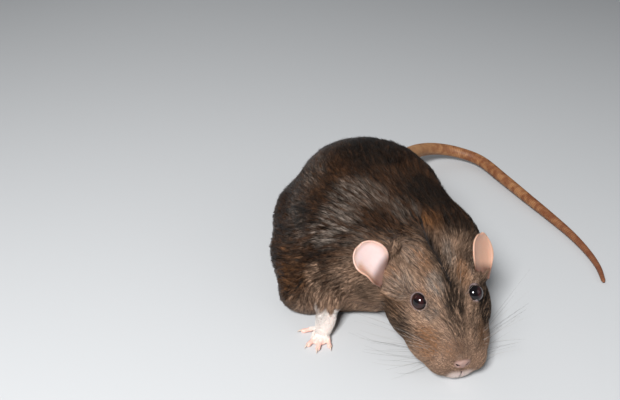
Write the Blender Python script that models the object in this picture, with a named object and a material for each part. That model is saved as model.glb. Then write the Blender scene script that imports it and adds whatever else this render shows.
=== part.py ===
"""A pet rat crouching on a floor, life size and still, divided into the parts of its body.

It looks along -Y, so its right side is towards -X, and its back curves round to its right.
Lengths are millimetres on a plan whose zero lies on the floor under the tip of the nose.
The last step turns that plan into metres and puts its zero under the middle of the animal.
"""

import math

import bmesh
import bpy
from mathutils import Matrix, Vector
from mathutils.bvhtree import BVHTree

# Driving sizes of a large male, in millimetres and degrees
HEAD_LENGTH = 52.0
EYE_RADIUS = 3.5
EAR_HEIGHT = 20.0
EAR_WIDTH = 17.0
EAR_WALL = 0.9
FOREPAW_LENGTH = 19.0
HINDPAW_LENGTH = 38.0
TAIL_ROOT_RADIUS = 5.8
TAIL_TIP_RADIUS = 1.0
TAIL_TAPER = 0.85
TAIL_WAIST = 0.7
TAIL_WAIST_PLACE = 0.3
TAIL_WAIST_REACH = 0.22
TAIL_LENGTHS = 5
GAP = 0.3

# How the head is held: its nose tip, the turn to its own left and the dip below level
NOSE_TIP = Vector((3.5, 0.6, 12.1))
HEAD_TURN = 12.0
HEAD_DIP = 23.0

# The middle of the animal on the plan
MIDDLE_X = 7.1
MIDDLE_Y = 105.6

# Triangles that each node may keep
MOST_TRIANGLES = {
    "body": 5600,
    "hindpaw": 500,
    "forepaw": 440,
}

MM = 0.001
UP = Vector((0.0, 0.0, 1.0))
LEFT, RIGHT = 1, -1
SIDE_NAMES = {LEFT: "left", RIGHT: "right"}

FINISHES = {
    "coat": ((0.055, 0.036, 0.026), 0.62),
    "nose skin": ((0.46, 0.27, 0.22), 0.45),
    "bare skin": ((0.62, 0.37, 0.29), 0.5),
    "tail skin": ((0.42, 0.24, 0.15), 0.55),
    "eye": ((0.012, 0.006, 0.006), 0.08),
}


# Clearing the file

for leftover in list(bpy.data.objects):
    bpy.data.objects.remove(leftover, do_unlink=True)


# Making and changing meshes

def placed(name, mesh):
    """Links a mesh into the scene as an object."""
    thing = bpy.data.objects.new(name, mesh)
    bpy.context.scene.collection.objects.link(thing)
    return thing


def from_bmesh(name, shape):
    """Turns a bmesh into an object with its faces pointing out."""
    shape.normal_update()
    bmesh.ops.recalc_face_normals(shape, faces=shape.faces)
    mesh = bpy.data.meshes.new(name)
    shape.to_mesh(mesh)
    shape.free()
    return placed(name, mesh)


def applied(thing):
    """Bakes an object's modifiers into its mesh."""
    bpy.context.view_layer.update()
    graph = bpy.context.evaluated_depsgraph_get()
    baked = bpy.data.meshes.new_from_object(thing.evaluated_get(graph))
    thing.modifiers.clear()
    thing.data = baked
    return thing


def removed(things):
    for thing in things:
        bpy.data.objects.remove(thing, do_unlink=True)


def copied(thing, name):
    return placed(name, thing.data.copy())


def largest_piece(thing):
    """Keeps the biggest closed surface of an object."""
    shape = bmesh.new()
    shape.from_mesh(thing.data)
    seen = set()
    groups = []
    for start in shape.verts:
        if start.index in seen:
            continue
        group = [start]
        seen.add(start.index)
        for vertex in group:
            for edge in vertex.link_edges:
                other = edge.other_vert(vertex)
                if other.index not in seen:
                    seen.add(other.index)
                    group.append(other)
        groups.append(group)
    groups.sort(key=len)
    for group in groups[:-1]:
        bmesh.ops.delete(shape, geom=group, context="VERTS")
    shape.to_mesh(thing.data)
    shape.free()
    return thing


def fused(name, pieces, voxel, passes):
    """Melts overlapping pieces into one skin and eases the creases between them."""
    shape = bmesh.new()
    for piece in pieces:
        shape.from_mesh(piece.data)
    removed(pieces)
    whole = from_bmesh(name, shape)
    skin = whole.modifiers.new("skin", "REMESH")
    skin.mode = "VOXEL"
    skin.voxel_size = voxel
    ease = whole.modifiers.new("ease", "SMOOTH")
    ease.factor = 0.5
    ease.iterations = passes
    return largest_piece(applied(whole))


def thinned(thing, triangles):
    """Brings an object down to a number of triangles, fewest where it is flattest."""
    thing.data.calc_loop_triangles()
    now = len(thing.data.loop_triangles)
    if now > triangles:
        cut = thing.modifiers.new("thin", "DECIMATE")
        cut.ratio = triangles / now
        applied(thing)
    return thing


def on_floor(thing):
    """Flattens whatever reaches below the floor, which gives the soles and belly their flats."""
    for vertex in thing.data.vertices:
        vertex.co.z = max(vertex.co.z, 0.0)
    return thing


def swollen(thing, name, by=GAP):
    """A copy whose surface stands a little outside the first."""
    copy = copied(thing, name)
    moved = [vertex.co + vertex.normal * by for vertex in copy.data.vertices]
    for vertex, place in zip(copy.data.vertices, moved):
        vertex.co = place
    return copy


def boolean(thing, cutter, operation):
    """Cuts or joins an object with another, and keeps the biggest piece of the result."""
    step = thing.modifiers.new("step", "BOOLEAN")
    step.operation = operation
    step.object = cutter
    return largest_piece(applied(thing))


def parted(thing, name, region, detail=3):
    """Takes what an ellipsoid holds out of an object, as a node of its own."""
    centre, radii, turn, frame = region
    inner = ellipsoid("inner", centre, radii, turn, frame, detail)
    outer = ellipsoid("outer", centre, [radius + GAP for radius in radii], turn, frame, detail)
    part = boolean(copied(thing, name), inner, "INTERSECT")
    boolean(thing, outer, "DIFFERENCE")
    removed([inner, outer])
    return part


# Round forms

def eased(stations, between):
    """Stations with more set between them on a smooth curve through all of their values."""
    rows = []
    last = len(stations) - 1
    for i in range(last):
        a, b, c, d = (stations[min(max(k, 0), last)] for k in (i - 1, i, i + 1, i + 2))
        for step in range(between):
            t = step / between
            rows.append([
                0.5 * (2 * q + (r - p) * t + (2 * p - 5 * q + 4 * r - s) * t * t
                       + (3 * q - p - 3 * r + s) * t ** 3)
                for p, q, r, s in zip(a, b, c, d)
            ])
    rows.append(list(stations[-1]))
    return rows


def headings(centres):
    """The way a line through points runs at each of them."""
    last = len(centres) - 1
    return [centres[min(i + 1, last)] - centres[max(i - 1, 0)] for i in range(last + 1)]


def loft(name, stations, between=4, sides=28, frame=None, ways=None):
    """A closed form on rings, each given as x, y, z, half width, rise and drop."""
    rows = eased(stations, between)
    centres = [Vector(row[:3]) for row in rows]
    shape = bmesh.new()
    rings = []
    for centre, row, ahead in zip(centres, rows, ways or headings(centres)):
        side = ahead.cross(UP).normalized()
        top = side.cross(ahead).normalized()
        half, rise, drop = row[3:6]
        ring = []
        for k in range(sides):
            angle = math.tau * k / sides
            height = math.sin(angle)
            reach = side * half * math.cos(angle) + top * height * (rise if height > 0 else drop)
            ring.append(shape.verts.new(centre + reach))
        rings.append(ring)
    for near, far in zip(rings, rings[1:]):
        for k in range(sides):
            n = (k + 1) % sides
            shape.faces.new((near[k], near[n], far[n], far[k]))
    for ring, centre in ((rings[0], centres[0]), (rings[-1], centres[-1])):
        tip = shape.verts.new(centre)
        for k in range(sides):
            shape.faces.new((ring[k], ring[(k + 1) % sides], tip))
    if frame is not None:
        shape.transform(frame)
    return from_bmesh(name, shape)


def tube(name, points, radii, between=4, sides=16):
    """A round limb through points, with a radius at each."""
    return loft(name, [(*p, r, r, r) for p, r in zip(points, radii)], between, sides)


def ellipsoid(name, centre, radii, turn=0.0, frame=None, detail=4):
    """A ball stretched to three radii and turned about the vertical, in degrees."""
    shape = bmesh.new()
    bmesh.ops.create_icosphere(shape, subdivisions=detail, radius=1.0)
    place = Matrix.Translation(Vector(centre)) @ Matrix.Rotation(math.radians(turn), 4, "Z")
    shape.transform(place @ Matrix.Diagonal((*radii, 1.0)))
    if frame is not None:
        shape.transform(frame)
    return from_bmesh(name, shape)


def ring(name, centre, axis, radius, thickness, sides=20, facets=6):
    """A closed ring about an axis, thicker on its upper half, as a lid is."""
    across = axis.cross(UP).normalized()
    over = across.cross(axis).normalized()
    shape = bmesh.new()
    loops = []
    for i in range(sides):
        angle = math.tau * i / sides
        way = across * math.cos(angle) + over * math.sin(angle)
        wall = thickness * (1.0 + 0.25 * math.sin(angle))
        loop = []
        for k in range(facets):
            turn = math.tau * k / facets
            point = centre + way * (radius + wall * math.cos(turn)) + axis * wall * math.sin(turn)
            loop.append(shape.verts.new(point))
        loops.append(loop)
    for i in range(sides):
        near, far = loops[i], loops[(i + 1) % sides]
        for k in range(facets):
            n = (k + 1) % facets
            shape.faces.new((near[k], near[n], far[n], far[k]))
    return from_bmesh(name, shape)


# The head's own frame: x runs back from the nose tip, y to the animal's left, z out of its crown

def head_frame():
    turn = math.radians(HEAD_TURN)
    dip = math.radians(HEAD_DIP)
    back = Vector((-math.sin(turn) * math.cos(dip), math.cos(turn) * math.cos(dip), math.sin(dip)))
    left = Vector((math.cos(turn), math.sin(turn), 0.0))
    columns = Matrix((back, left, left.cross(back))).transposed().to_4x4()
    return Matrix.Translation(NOSE_TIP) @ columns


HEAD = head_frame()


def on_head(x, y, z):
    """A point of the head's frame on the plan."""
    return HEAD @ Vector((x, y, z))


def way_on_head(x, y, z):
    """A direction of the head's frame on the plan."""
    return (HEAD.to_3x3() @ Vector((x, y, z))).normalized()


# Trunk: rump to neck, as x, y, z, half width, rise and drop

TRUNK = (
    (-4, 166, 20, 5, 6, 6),
    (-8, 160, 22, 13, 12, 14),
    (-15, 152, 24, 21, 16, 23),
    (-23, 141, 27, 29, 20, 28),
    (-29, 123, 30, 34, 25.5, 31),
    (-30, 104, 32, 37, 33, 33),
    (-30, 86, 33, 40, 37, 34),
    (-26, 67, 34, 40, 33, 35),
    (-15, 56, 36, 34, 26, 31),
    (-4, 47, 37, 25, 21, 25),
    (-4, 37, 36, 16, 13, 18),
)
FLANK = ((-44, 76, 18), (35.5, 38, 27), 0)
CHEST = ((-30, 56, 16), (20, 18, 17), 0)
WITHERS = ((-13, 67, 36), (24, 30, 26.5), 0)
NAPE = ((-24, 46, 28), (18, 20, 19), 0)
SCRUFF = ((-11, 51, 42), (18, 18, 17), 0)
HAUNCHES = {
    RIGHT: ((-50.5, 92, 23), (28.5, 34, 25), 6),
    LEFT: ((-13, 106, 21), (21, 34, 22), -8),
}
SHOULDERS = {
    RIGHT: ((-42, 62, 30), (19, 20, 23), 0),
    LEFT: ((-1, 60, 29), (18.5, 26, 24), 0),
}
ELBOWS = {
    RIGHT: ((-59, 55, 12), (16, 15, 15.5), 0),
    LEFT: ((7, 62, 13), (12, 15, 14), 0),
}
ARMS = {
    RIGHT: (((-50, 56, 26), (-52, 48, 20), (-51.5, 40, 13.5), (-50.5, 34.5, 8)), (12, 9.5, 7.0, 4.8)),
    LEFT: (((4, 68, 24), (7, 63, 17), (7, 57, 12), (6, 51, 8.5)), (12, 10, 7.5, 5.0)),
}
HEELS = {
    RIGHT: ((-56, 116, 8), (10, 15, 9), 8),
    LEFT: ((-3, 128, 8), (10, 15, 9), -14),
}


def body_pieces():
    """The overlapping masses of trunk, thighs, shoulders, arms and the back of the head."""
    pieces = [
        loft("trunk", TRUNK, between=5, sides=48),
        ellipsoid("flank", *FLANK),
        ellipsoid("chest", *CHEST),
        ellipsoid("withers", *WITHERS),
        ellipsoid("nape", *NAPE),
        ellipsoid("scruff", *SCRUFF),
        ellipsoid("skull core", (36, 0, 0), (18, 18, 15), frame=HEAD),
    ]
    for side in (RIGHT, LEFT):
        for mass in (HAUNCHES, SHOULDERS, ELBOWS, HEELS):
            pieces.append(ellipsoid("mass", *mass[side]))
        pieces.append(tube("arm", *ARMS[side]))
    return pieces


# Head: nose tip to crown, as distance back, side, height, half width, rise and drop

SKULL = (
    (0.0, 0, -0.5, 2.4, 2.2, 2.4),
    (1.5, 0, -0.9, 5.0, 4.4, 5.4),
    (4.0, 0, -1.2, 8.6, 6.4, 8.4),
    (8.0, 0, -1.6, 11.6, 8.6, 9.8),
    (13.0, 0, -1.8, 14.0, 10.8, 10.4),
    (18.0, 0, -1.9, 15.6, 12.6, 11.0),
    (24.0, 0, -1.8, 17.4, 14.8, 12.2),
    (30.0, 0, -1.6, 19.6, 17.0, 13.6),
    (37.0, 0, -1.0, 21.8, 18.6, 15.4),
    (44.0, 0, -0.4, 22.4, 19.2, 17.4),
    (HEAD_LENGTH, 0, 0.3, 21.6, 18.8, 18.6),
    (HEAD_LENGTH + 5, 0, 0.5, 15.0, 13.0, 14.0),
)
CHEEK = ((32, 13.4, -4.5), (17, 10.4, 11.0))
JOWL = ((20, 10.2, -5.4), (16, 8.8, 8.0))
PAD = ((8.2, 6.8, -4.6), (10.0, 7.2, 6.8))
EAR_ROOTS = {RIGHT: ((40, -18.6, 7.0), (11.5, 9.0, 8.0)), LEFT: ((41, 16.6, 6.5), (10.0, 7.6, 7.5))}
JAW = ((10, 0, -8.6), (9.5, 6.8, 4.8))
LIP = ((2.2, 0, -7.2), (4.8, 8.4, 5.6))
NOSE = ((1.9, 0, 0.2), (2.9, 3.8, 3.0))


def head_pieces():
    """The overlapping masses of the head: skull, cheeks, whisker pads, jaw, lip and nose."""
    pieces = [loft("skull", SKULL, between=5, sides=36, frame=HEAD)]
    for side in (RIGHT, LEFT):
        for (x, y, z), radii in (CHEEK, JOWL, PAD):
            pieces.append(ellipsoid("mass", (x, y * side, z), radii, frame=HEAD))
        pieces.append(ellipsoid("ear root", *EAR_ROOTS[side], frame=HEAD))
    for centre, radii in (JAW, LIP, NOSE):
        pieces.append(ellipsoid("mass", centre, radii, frame=HEAD))
    return pieces


# Eyes, lids, nostrils and mouth, on the head's frame

EYE_PLACE = (26.1, 11.8, 8.5)
EYE_LOOK = (-0.32, 0.80, 0.51)
LID_RISE = 1.45
LID_THICKNESS = 0.65
NOSTRIL = ((0.0, 2.2, -0.4), (1.5, 0.55, 0.85))
PHILTRUM = ((-1.8, 0, -6.0), (1.8, 0.35, 4.2))
MOUTH = ((-0.6, 0.0, -10.6), (3.4, 3.4, -12.6), (8.0, 6.6, -12.4), (12.5, 8.8, -11.4), (16.5, 10, -10))
MOUTH_GROOVE = 0.55
NOSE_REGION = ((0.5, 0, 0.3), (4.2, 4.6, 3.7), 0.0, HEAD)


def eye_middle(side):
    return on_head(EYE_PLACE[0], EYE_PLACE[1] * side, EYE_PLACE[2])


def faced(head):
    """Gives the head its lids, eye sockets, nostrils, lip groove and mouth line."""
    for side in (RIGHT, LEFT):
        look = way_on_head(EYE_LOOK[0], EYE_LOOK[1] * side, EYE_LOOK[2])
        ball = EYE_RADIUS + GAP
        reach = math.sqrt((ball + LID_THICKNESS * 0.5) ** 2 - LID_RISE ** 2)
        lids = ring("lids", eye_middle(side) + look * LID_RISE, look, reach, LID_THICKNESS)
        boolean(head, lids, "UNION")
        socket = ellipsoid("socket", eye_middle(side), (ball,) * 3, detail=3)
        boolean(head, socket, "DIFFERENCE")
        removed([lids, socket])
    skin = BVHTree.FromObject(head, bpy.context.evaluated_depsgraph_get())
    for side in (RIGHT, LEFT):
        line = [skin.find_nearest(on_head(x, y * side, z))[0] for x, y, z in MOUTH]
        radii = [MOUTH_GROOVE] * (len(line) - 1) + [MOUTH_GROOVE * 0.6]
        groove = tube("groove", line, radii, between=3, sides=8)
        boolean(head, groove, "DIFFERENCE")
        (x, y, z), radii = NOSTRIL
        nostril = ellipsoid("nostril", (x, y * side, z), radii, frame=HEAD, detail=2)
        boolean(head, nostril, "DIFFERENCE")
        removed([groove, nostril])
    parting = ellipsoid("parting", *PHILTRUM, frame=HEAD, detail=3)
    boolean(head, parting, "DIFFERENCE")
    removed([parting])
    return head


# Paws: each toe as degrees from the way the paw points, length and radius

FORE_TOES = ((58, 5.8, 1.15), (15, 6.6, 1.2), (-10, 6.8, 1.2), (-36, 5.6, 1.15))
HIND_TOES = ((32, 8.5, 1.2), (13, 12.5, 1.35), (0, 13.5, 1.4), (-12, 12.5, 1.35), (-34, 7.5, 1.2))
FOREPAWS = {
    RIGHT: ((-50.3, 37.0), 25),
    LEFT: ((7.5, 54), -8),
}
HINDPAWS = {
    RIGHT: ((-58, 120), 14),
    LEFT: ((1, 134), -20),
}


def toe_pieces(root, heading, length, radius):
    """One toe as a knuckled limb with its pad and claw."""
    way = Vector((-math.sin(heading), -math.cos(heading), 0.0))
    points = []
    radii = []
    for share, height, width in ((-0.35, 1.5, 1.1), (0.15, 1.75, 1.0), (0.45, 1.5, 1.12),
                                 (0.75, 0.95, 0.9), (1.0, 0.8, 1.0)):
        points.append(root + way * length * share + UP * radius * height)
        radii.append(radius * width)
    tip = points[-1]
    claw = [tip, tip + way * 1.4 + UP * 0.35, tip + way * 2.3 - UP * 0.15]
    return [
        tube("toe", points, radii, between=3, sides=12),
        ellipsoid("pad", tip - UP * radius * 0.1, (radius * 1.12,) * 3, detail=2),
        tube("claw", claw, (radius * 0.6, radius * 0.48, 0.28), between=2, sides=10),
    ]


def paw(name, wrist, heading, length, width, ankle, toes, side):
    """A foot flat on the floor from its wrist or heel to its toes."""
    heading = math.radians(heading)
    way = Vector((-math.sin(heading), -math.cos(heading), 0.0))
    across = Vector((-way.y, way.x, 0.0)) * side
    start = Vector((*wrist, 0.0))
    sole = length - max(toe[1] for toe in toes) * 1.15
    rows = []
    for share, half, height in ((-0.12, 0.62, 1.75), (0.1, 0.72, 1.5), (0.45, 0.82, 1.05),
                                (0.8, 1.0, 0.8), (1.0, 0.82, 0.55)):
        centre = start + way * sole * share
        rows.append((*centre.xy, ankle * height * 0.5, width * half, ankle * height * 0.55, ankle))
    pieces = [loft("sole", rows, between=4, sides=20)]
    for degrees, reach, radius in toes:
        angle = heading - math.radians(degrees) * side
        spread = math.sin(math.radians(degrees)) * width * 1.15
        setback = (1 - math.cos(math.radians(degrees))) * width * 2.2
        root = start + way * (sole * 0.94 - setback) + across * spread
        pieces += toe_pieces(root, angle, reach, radius)
    return thinned(on_floor(fused(name, pieces, voxel=0.36, passes=3)), MOST_TRIANGLES[name.split("_")[0]])


# Ears: a leaf that is hollow towards the front, rounded at its tip and narrow at its root

EAR_BROADEST = 0.55
EAR_ROOT_SHARE = 0.34
EAR_BELLY = 1.8
EARS = {
    RIGHT: {"root": (37.6, -27.0, 11.2), "tall": (0.60, -0.33, 0.73), "face": (-0.70, -0.40, 0.58)},
    LEFT: {"root": (36.0, 16.8, 8.0), "tall": (0.69, 0.06, 0.72), "face": (-0.44, 0.80, 0.46)},
}


def ear(name, side):
    """A cupped shell with a rolled front edge, as thick as the real one."""
    held = EARS[side]
    tall = way_on_head(*held["tall"])
    face = way_on_head(*held["face"])
    face = (face - tall * face.dot(tall)).normalized()
    wide = tall.cross(face) * side
    root = on_head(*held["root"])
    rows, columns = 10, 10
    shape = bmesh.new()
    grid = []
    for i in range(rows):
        h = i / (rows - 1)
        opening = math.sin(min(h / EAR_BROADEST, 1) * math.pi / 2)
        half = EAR_WIDTH / 2 * (EAR_ROOT_SHARE + (1 - EAR_ROOT_SHARE) * opening)
        if h > EAR_BROADEST:
            half = EAR_WIDTH / 2 * math.sqrt(max(1 - ((h - EAR_BROADEST) / 0.47) ** 2, 0.0))
        row = []
        for k in range(columns):
            v = 2 * k / (columns - 1) - 1
            hollow = (0.62 - 0.42 * h) * half * v * v
            belly = EAR_BELLY * math.sin(h * math.pi) * (1 - v * v)
            point = root + tall * (EAR_HEIGHT * (h - 0.1)) + wide * half * v
            row.append(shape.verts.new(point + face * (hollow - belly)))
        grid.append(row)
    for low, high in zip(grid, grid[1:]):
        for k in range(columns - 1):
            shape.faces.new((low[k], low[k + 1], high[k + 1]))
            shape.faces.new((low[k], high[k + 1], high[k]))
    made = from_bmesh(name, shape)
    wall = made.modifiers.new("wall", "SOLIDIFY")
    wall.thickness = EAR_WALL
    wall.offset = 0.0
    return applied(made)


# Tail: from the rump round to the animal's left and on along its side

TAIL_ROUTE = (
    (-8, 156, 22), (-2, 167, 21), (3.5, 181, 18), (14, 197, 14), (27, 206.5, 10.5), (42, 207.5, 7.5), (56, 198, 5.6),
    (66, 173, 4.6), (74.5, 149, 4.0), (81.5, 130, 3.4), (87.5, 112, 2.8), (91, 96, 2.2), (92, 82, 1.7),
    (90.5, 70, 1.1),
)


def tail_rows():
    """The tail's rings: it tapers fast behind the root and then evenly to the tip."""
    route = eased(TAIL_ROUTE, 4)
    lengths = [0.0]
    for here, there in zip(route, route[1:]):
        lengths.append(lengths[-1] + (Vector(there) - Vector(here)).length)
    rows = []
    for point, length in zip(route, lengths):
        share = length / lengths[-1]
        radius = TAIL_TIP_RADIUS + (TAIL_ROOT_RADIUS - TAIL_TIP_RADIUS) * (1 - share) ** TAIL_TAPER
        radius -= TAIL_WAIST * math.exp(-((share - TAIL_WAIST_PLACE) / TAIL_WAIST_REACH) ** 2)
        rows.append((*point, radius, radius, radius))
    return rows


def tail():
    """The tail in lengths that meet end to end, each resting on a narrow flat."""
    rows = tail_rows()
    ways = headings([Vector(row[:3]) for row in rows])
    made = []
    each = (len(rows) - 1) // TAIL_LENGTHS
    for n in range(TAIL_LENGTHS):
        first = n * each
        last = len(rows) - 1 if n == TAIL_LENGTHS - 1 else first + each
        piece = [list(row) for row in rows[first:last + 1]]
        if n < TAIL_LENGTHS - 1:
            piece[-1][:3] = Vector(piece[-1][:3]) - ways[last].normalized() * GAP
        length = loft(f"tail_{n + 1}", piece, between=1, sides=12, ways=ways[first:last + 1])
        made.append(on_floor(length))
    return made


# Regions that part the fused body, as a centre, radii, turn and frame

HEAD_REGION = ((22, 0, -2), (28, 34, 30), 0.0, HEAD)
NECK_REGION = ((34, 0, 2), (31, 33, 27), 0.0, HEAD)
THIGH_REGIONS = {
    RIGHT: ((-70, 93, 18), (24, 33, 24), 6, None),
    LEFT: ((12, 112, 18), (23, 32, 23), -8, None),
}
ARM_REGIONS = {
    RIGHT: ((-60, 47, 8), (22, 19, 21), 0, None),
    LEFT: ((8, 57, 9), (15, 17, 18), 0, None),
}


def whole_body():
    """The body and head melted into one skin, with its belly flat on the floor."""
    body = fused("body", body_pieces(), voxel=1.8, passes=12)
    head = fused("head", head_pieces(), voxel=0.7, passes=5)
    return thinned(on_floor(fused("torso", [body, head], voxel=0.8, passes=4)), MOST_TRIANGLES["body"])


def dressed(node, kind):
    """Gives a node its material."""
    material = bpy.data.materials.get(kind)
    if material is None:
        colour, roughness = FINISHES[kind]
        material = bpy.data.materials.new(kind)
        material.use_nodes = True
        shader = material.node_tree.nodes["Principled BSDF"]
        shader.inputs["Base Color"].default_value = (*colour, 1.0)
        shader.inputs["Roughness"].default_value = roughness
        shader.inputs["Metallic"].default_value = 0.0
    node.data.materials.clear()
    node.data.materials.append(material)


def main():
    torso = whole_body()
    clearance = swollen(torso, "clearance")
    nodes = {"coat": [torso], "bare skin": [], "eye": [], "tail skin": [], "nose skin": []}
    head = faced(parted(torso, "head", HEAD_REGION))
    nodes["nose skin"].append(parted(head, "nose", NOSE_REGION, detail=2))
    nodes["coat"] += [head, parted(torso, "neck", NECK_REGION)]
    for side in (RIGHT, LEFT):
        name = SIDE_NAMES[side]
        nodes["coat"].append(parted(torso, "hindleg_" + name, THIGH_REGIONS[side]))
        nodes["coat"].append(parted(torso, "foreleg_" + name, ARM_REGIONS[side]))
        bare = [
            ear("ear_" + name, side),
            paw("forepaw_" + name, *FOREPAWS[side], FOREPAW_LENGTH, 4.6, 4.2, FORE_TOES, side),
            paw("hindpaw_" + name, *HINDPAWS[side], HINDPAW_LENGTH, 5.0, 5.2, HIND_TOES, side),
        ]
        for piece in bare:
            nodes["bare skin"].append(boolean(piece, clearance, "DIFFERENCE"))
        nodes["eye"].append(ellipsoid("eye_" + name, eye_middle(side), (EYE_RADIUS,) * 3, detail=3))
    nodes["tail skin"] = tail()
    boolean(nodes["tail skin"][0], clearance, "DIFFERENCE")
    removed([clearance])
    rat = bpy.data.objects.new("rat", None)
    bpy.context.scene.collection.objects.link(rat)
    to_metres = Matrix.Scale(MM, 4) @ Matrix.Translation((-MIDDLE_X, -MIDDLE_Y, 0.0))
    for kind, group in nodes.items():
        for node in group:
            node.data.transform(to_metres)
            node.data.shade_smooth()
            node.data.set_sharp_from_angle(angle=math.radians(50))
            dressed(node, kind)
            node.parent = rat


main()
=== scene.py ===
import math

import bmesh
import bpy
import numpy as np
from mathutils import Matrix, Vector
from mathutils.bvhtree import BVHTree
from mathutils.kdtree import KDTree


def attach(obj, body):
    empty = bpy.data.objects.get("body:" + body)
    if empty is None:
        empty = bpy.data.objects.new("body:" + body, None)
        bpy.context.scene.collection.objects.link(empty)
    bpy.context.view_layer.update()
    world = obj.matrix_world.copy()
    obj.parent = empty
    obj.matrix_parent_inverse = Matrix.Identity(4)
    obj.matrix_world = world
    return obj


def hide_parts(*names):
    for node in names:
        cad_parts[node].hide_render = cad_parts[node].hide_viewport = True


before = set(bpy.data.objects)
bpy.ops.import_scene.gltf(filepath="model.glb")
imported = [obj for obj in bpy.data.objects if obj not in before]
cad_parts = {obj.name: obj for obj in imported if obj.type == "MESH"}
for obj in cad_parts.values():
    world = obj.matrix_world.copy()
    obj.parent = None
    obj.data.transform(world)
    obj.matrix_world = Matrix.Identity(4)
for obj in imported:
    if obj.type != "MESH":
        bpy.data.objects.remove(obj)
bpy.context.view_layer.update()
bpy.ops.object.select_all(action="DESELECT")

# The flesh: one hide over trunk, neck, head, nose and legs, with no seam between them.
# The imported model's own pieces are copied and swollen a little so that they meet, then fused
# into one body and smoothed. The coat's depth is taken off it further down.

MM = 0.001
FLESH = ("torso", "neck", "head", "nose", "hindleg_right", "hindleg_left", "foreleg_right",
         "foreleg_left")
MEETING_SWELL = 0.22 * MM
FLESH_GRAIN = 0.55 * MM


def select_only(*things):
    bpy.ops.object.select_all(action="DESELECT")
    for thing in things:
        thing.select_set(True)
    bpy.context.view_layer.objects.active = things[0]


def finished(thing):
    """Applies every modifier of a piece."""
    select_only(thing)
    for modifier in list(thing.modifiers):
        bpy.ops.object.modifier_apply(modifier=modifier.name)
    return thing


def cast_of(node):
    """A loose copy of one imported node, with its doubles merged."""
    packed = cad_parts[node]
    made = bpy.data.objects.new("cast_" + node, packed.data.copy())
    bpy.context.collection.objects.link(made)
    select_only(made)
    bpy.ops.object.mode_set(mode="EDIT")
    bpy.ops.mesh.select_all(action="SELECT")
    bpy.ops.mesh.remove_doubles(threshold=0.000005)
    bpy.ops.object.mode_set(mode="OBJECT")
    swell = made.modifiers.new("swell", "DISPLACE")
    swell.strength = MEETING_SWELL
    swell.mid_level = 0.0
    return finished(made)


def joined(name, things):
    select_only(*things)
    bpy.ops.object.join()
    things[0].name = name
    things[0].data.name = name
    return things[0]


casts = [cast_of(node) for node in FLESH]

# Feet: pale hands and feet with short fingers, soft pads and a knuckled back. Each is laid out
# from its wrist or heel along the way it points, as balls and tapered limbs that are fused on a
# finer grain than the body, and joined to it once the hide is made. The claws come later.

RIGHT, LEFT = -1, 1
SIDES = {"right": RIGHT, "left": LEFT}
FOOT_GRAIN = 0.3 * MM
FORE_FINGERS = ((58, 5.8, 1.05), (15, 6.6, 1.1), (-10, 6.8, 1.1), (-36, 5.6, 1.05))
HIND_TOES = ((32, 8.5, 1.15), (13, 12.5, 1.25), (0, 13.5, 1.3), (-12, 12.5, 1.25), (-34, 7.5, 1.15))
FEET = (
    ("forepaw_right", (-57.4, -68.6), 25, 19.0, 3.7, 4.5, FORE_FINGERS, RIGHT),
    ("forepaw_left", (0.4, -51.6), -8, 19.0, 3.7, 4.5, FORE_FINGERS, LEFT),
    ("hindpaw_right", (-65.1, 14.4), 14, 38.0, 4.6, 5.2, HIND_TOES, RIGHT),
    ("hindpaw_left", (-6.1, 28.4), -20, 38.0, 4.6, 5.2, HIND_TOES, LEFT),
)
DIGIT_ROWS = (
    (-0.35, 1.5, 1.1), (0.1, 1.72, 1.02), (0.34, 1.6, 1.14), (0.55, 1.3, 0.92), (0.75, 1.05, 0.98),
    (0.92, 0.98, 0.98), (1.02, 1.0, 0.62),
)
PALM_ROWS = ((-0.12, 0.62, 1.45), (0.1, 0.72, 1.3), (0.45, 0.8, 1.0), (0.8, 0.98, 0.82), (0.96, 0.9, 0.62))
claw_places = []
finger_lines = []


def ball(name, centre, radii, frame_turn=None):
    """An egg-shaped mass in millimetres, turned if a turn is given."""
    bpy.ops.mesh.primitive_uv_sphere_add(segments=28, ring_count=18, radius=MM, location=(0, 0, 0))
    made = bpy.context.object
    made.name = name
    turn = frame_turn.to_4x4() if frame_turn else Matrix.Identity(4)
    place = Matrix.Translation(Vector(centre) * MM) @ turn @ Matrix.Diagonal((*radii, 1.0))
    made.data.transform(place)
    return made


def eased_line(points, per_span):
    """Points on a smooth line through the given ones, with whatever else each carries."""
    knots = np.array(points, float)
    padded = np.vstack([2 * knots[0] - knots[1], knots, 2 * knots[-1] - knots[-2]])
    line = []
    for a, b, c, d in zip(padded, padded[1:], padded[2:], padded[3:]):
        for t in np.linspace(0, 1, per_span, endpoint=False):
            cubic = (3 * b - 3 * c + d - a) * t ** 3 + (2 * a - 5 * b + 4 * c - d) * t ** 2
            line.append(0.5 * (cubic + (c - a) * t + 2 * b))
    line.append(knots[-1])
    return np.array(line)


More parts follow.
